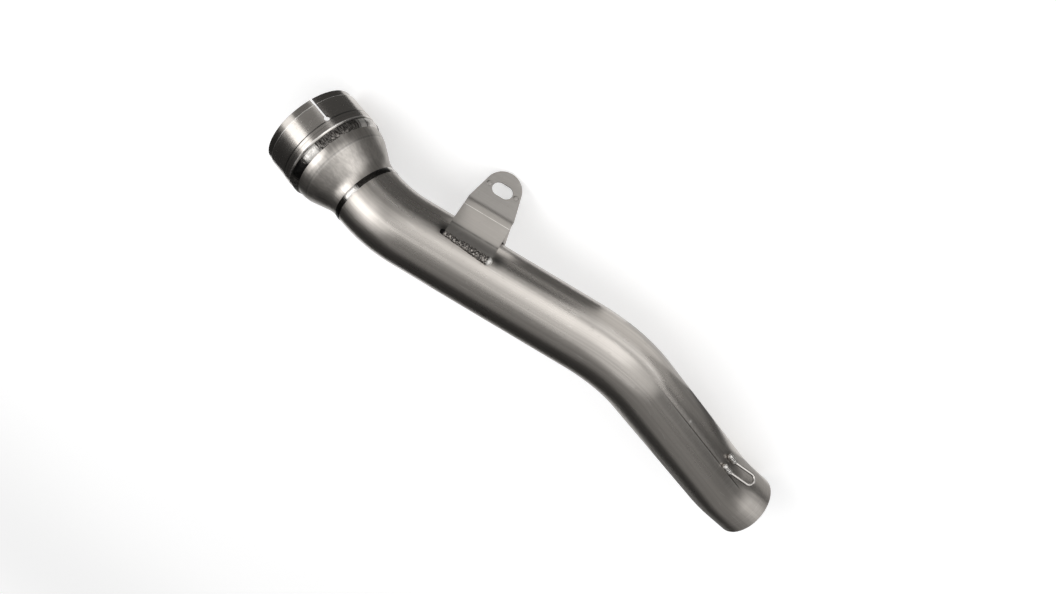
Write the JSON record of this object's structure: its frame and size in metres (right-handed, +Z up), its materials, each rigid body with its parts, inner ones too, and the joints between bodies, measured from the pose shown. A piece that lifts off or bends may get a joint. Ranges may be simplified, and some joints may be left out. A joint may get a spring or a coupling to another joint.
{
  "type": "motorcycle decat pipe",
  "caption": "Bent metal exhaust link pipe with a slotted clamp collar, a reducer, a slotted sheet hanger and a wire spring hook, in place of a catalyst.",
  "frame": {"origin": "middle of the underside of the bounding box, on the floor that the pipe lies on", "axes": "+X runs along the straight main run from the inlet to the outlet, +Z is up in the lying pose, with the hanger underneath"},
  "size_m": [0.4734, 0.174, 0.0944],
  "materials": {
    "collar_metal": "turned bright grey metal, fine rings round the axis",
    "reducer_metal": "spun warm grey metal with soft streaks",
    "tube_metal": "warm grey metal, brushed along its length",
    "sheet_metal": "matt rolled sheet",
    "hook_wire": "drawn wire, satin",
    "weld_bead": "dark rippled bead",
    "hook_bead": "bright lumpy bead"
  },
  "bodies": {
    "root": {"inlet_collar": "collar_metal", "reducer_cone": "reducer_metal", "main_tube": "tube_metal", "bracket_plate": "sheet_metal", "bracket_brace": "sheet_metal", "spring_hook": "hook_wire", "weld_beads": "weld_bead"}
  },
  "joints": []
}
